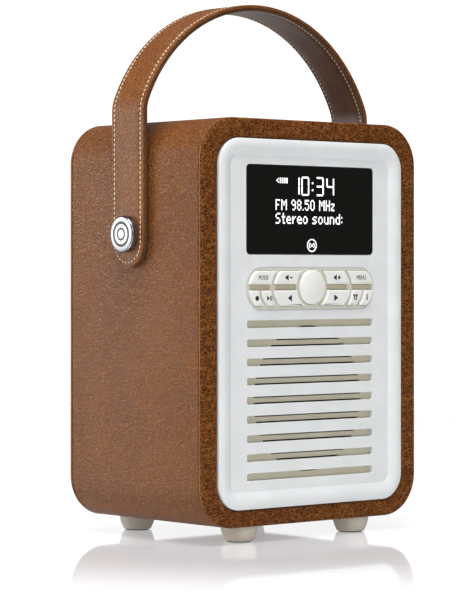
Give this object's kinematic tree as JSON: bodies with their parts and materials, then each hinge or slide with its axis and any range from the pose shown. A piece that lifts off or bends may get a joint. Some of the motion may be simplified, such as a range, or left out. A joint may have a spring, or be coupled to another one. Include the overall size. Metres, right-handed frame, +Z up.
{
  "type": "portable radio",
  "caption": "Leather-wrapped portable radio with a strap handle, white slotted front, glossy display, push keys, tapered feet and a rear telescopic antenna.",
  "frame": {"origin": "on the table, under the middle of the body", "axes": "+Z up, -Y is the front with the display, +X is the right side seen from the front"},
  "size_m": [0.1398, 0.0922, 0.2327],
  "materials": {
    "leather_side": "grained, satin",
    "leather_border": "grained, semi-matt, darker",
    "strap_leather": "grained, stitched edges",
    "strap_lining": "smooth, satin",
    "white_plastic": "satin",
    "cream_plastic": "satin",
    "key_plastic": "semi-gloss",
    "foot_plastic": "satin",
    "dark_plastic": "satin",
    "case_plastic": "matt",
    "window_black": "high gloss",
    "rubber": "matt",
    "mat_rubber": "matt",
    "cloth": "woven",
    "circuit_board": "solder mask",
    "paper_cone": "matt pulp",
    "speaker_steel": "stamped, painted",
    "magnet": "ground ferrite",
    "stud_metal": "satin nickel",
    "screw_steel": "zinc",
    "antenna_chrome": "polished",
    "battery_wrap": "shrink film"
  },
  "bodies": {
    "radio_body": {"cabinet": "case_plastic", "leather_sleeve": "leather_side", "leather_front": "leather_border", "leather_back": "leather_border", "fascia": "white_plastic", "grille_insert": "cream_plastic", "grille_cloth": "cloth", "display_window": "window_black", "display_module": "dark_plastic", "keypad_mat": "mat_rubber", "keypad_board": "circuit_board", "speaker_gasket": "rubber", "speaker_frame": "speaker_steel", "speaker_surround": "rubber", "speaker_cone": "paper_cone", "speaker_dust_cap": "paper_cone", "speaker_magnet": "magnet", "speaker_screws": "screw_steel", "main_board": "circuit_board", "rear_cover": "white_plastic", "rear_screws": "screw_steel", "battery_pack": "battery_wrap", "dc_inlet": "dark_plastic", "headphone_socket": "dark_plastic", "line_socket": "dark_plastic", "antenna_base": "dark_plastic", "antenna_pin": "screw_steel", "foot_front_left": "foot_plastic", "foot_front_right": "foot_plastic", "foot_back_left": "foot_plastic", "foot_back_right": "foot_plastic", "foot_pads": "rubber", "foot_screws": "screw_steel", "pivot_posts": "screw_steel", "pivot_nuts": "screw_steel", "pivot_washers": "dark_plastic"},
    "handle": {"handle_strap": "strap_leather", "handle_lining": "strap_lining", "stud_left": "stud_metal", "stud_right": "stud_metal"},
    "antenna_outer_tube": {"antenna_outer": "antenna_chrome"},
    "antenna_middle_tube": {"antenna_middle": "antenna_chrome"},
    "antenna_inner_rod": {"antenna_inner": "antenna_chrome"},
    "power_push": {"power_button": "dark_plastic"},
    "battery_cover": {"battery_door": "white_plastic"},
    "key_mode_cap": {"key_mode": "key_plastic"},
    "key_volume_down_cap": {"key_volume_down": "key_plastic"},
    "key_volume_up_cap": {"key_volume_up": "key_plastic"},
    "key_menu_cap": {"key_menu": "key_plastic"},
    "key_preset_cap": {"key_preset": "key_plastic"},
    "key_play_cap": {"key_play": "key_plastic"},
    "key_previous_cap": {"key_previous": "key_plastic"},
    "key_next_cap": {"key_next": "key_plastic"},
    "key_alarm_cap": {"key_alarm": "key_plastic"},
    "key_info_cap": {"key_info": "key_plastic"},
    "select_button_cap": {"select_button": "key_plastic"}
  },
  "joints": [
    {"name": "handle_swing", "type": "hinge", "parent": "radio_body", "child": "handle", "pos_m": [0, 0, 0.131], "axis": [1, 0, 0], "range_deg": [-115, 115]},
    {"name": "antenna_tilt", "type": "hinge", "parent": "radio_body", "child": "antenna_outer_tube", "pos_m": [0.036, 0.0414, 0.156], "axis": [1, 0, 0], "range_deg": [0, 135]},
    {"name": "antenna_pull_middle", "type": "slide", "parent": "antenna_outer_tube", "child": "antenna_middle_tube", "axis": [0, 0, -1], "range_m": [0, 0.033]},
    {"name": "antenna_pull_inner", "type": "slide", "parent": "antenna_middle_tube", "child": "antenna_inner_rod", "axis": [0, 0, -1], "range_m": [0, 0.033]},
    {"name": "power_press", "type": "slide", "parent": "radio_body", "child": "power_push", "axis": [0, -1, 0], "range_m": [0, 0.0015], "stiffness_N_per_m": 900, "springref_m": -0.0005},
    {"name": "battery_door_off", "type": "slide", "parent": "radio_body", "child": "battery_cover", "axis": [0, 1, 0], "range_m": [0, 0.02]},
    {"name": "key_mode_press", "type": "slide", "parent": "radio_body", "child": "key_mode_cap", "axis": [0, 1, 0], "range_m": [0, 0.001], "stiffness_N_per_m": 600, "springref_m": -0.0005},
    {"name": "key_volume_down_press", "type": "slide", "parent": "radio_body", "child": "key_volume_down_cap", "axis": [0, 1, 0], "range_m": [0, 0.001], "stiffness_N_per_m": 600, "springref_m": -0.0005},
    {"name": "key_volume_up_press", "type": "slide", "parent": "radio_body", "child": "key_volume_up_cap", "axis": [0, 1, 0], "range_m": [0, 0.001], "stiffness_N_per_m": 600, "springref_m": -0.0005},
    {"name": "key_menu_press", "type": "slide", "parent": "radio_body", "child": "key_menu_cap", "axis": [0, 1, 0], "range_m": [0, 0.001], "stiffness_N_per_m": 600, "springref_m": -0.0005},
    {"name": "key_preset_press", "type": "slide", "parent": "radio_body", "child": "key_preset_cap", "axis": [0, 1, 0], "range_m": [0, 0.001], "stiffness_N_per_m": 600, "springref_m": -0.0005},
    {"name": "key_play_press", "type": "slide", "parent": "radio_body", "child": "key_play_cap", "axis": [0, 1, 0], "range_m": [0, 0.001], "stiffness_N_per_m": 600, "springref_m": -0.0005},
    {"name": "key_previous_press", "type": "slide", "parent": "radio_body", "child": "key_previous_cap", "axis": [0, 1, 0], "range_m": [0, 0.001], "stiffness_N_per_m": 600, "springref_m": -0.0005},
    {"name": "key_next_press", "type": "slide", "parent": "radio_body", "child": "key_next_cap", "axis": [0, 1, 0], "range_m": [0, 0.001], "stiffness_N_per_m": 600, "springref_m": -0.0005},
    {"name": "key_alarm_press", "type": "slide", "parent": "radio_body", "child": "key_alarm_cap", "axis": [0, 1, 0], "range_m": [0, 0.001], "stiffness_N_per_m": 600, "springref_m": -0.0005},
    {"name": "key_info_press", "type": "slide", "parent": "radio_body", "child": "key_info_cap", "axis": [0, 1, 0], "range_m": [0, 0.001], "stiffness_N_per_m": 600, "springref_m": -0.0005},
    {"name": "select_button_press", "type": "slide", "parent": "radio_body", "child": "select_button_cap", "axis": [0, 1, 0], "range_m": [0, 0.001], "stiffness_N_per_m": 600, "springref_m": -0.0005}
  ],
  "couplings": [
    {"joint": "antenna_pull_inner", "follows": "antenna_pull_middle", "ratio": 1}
  ]
}
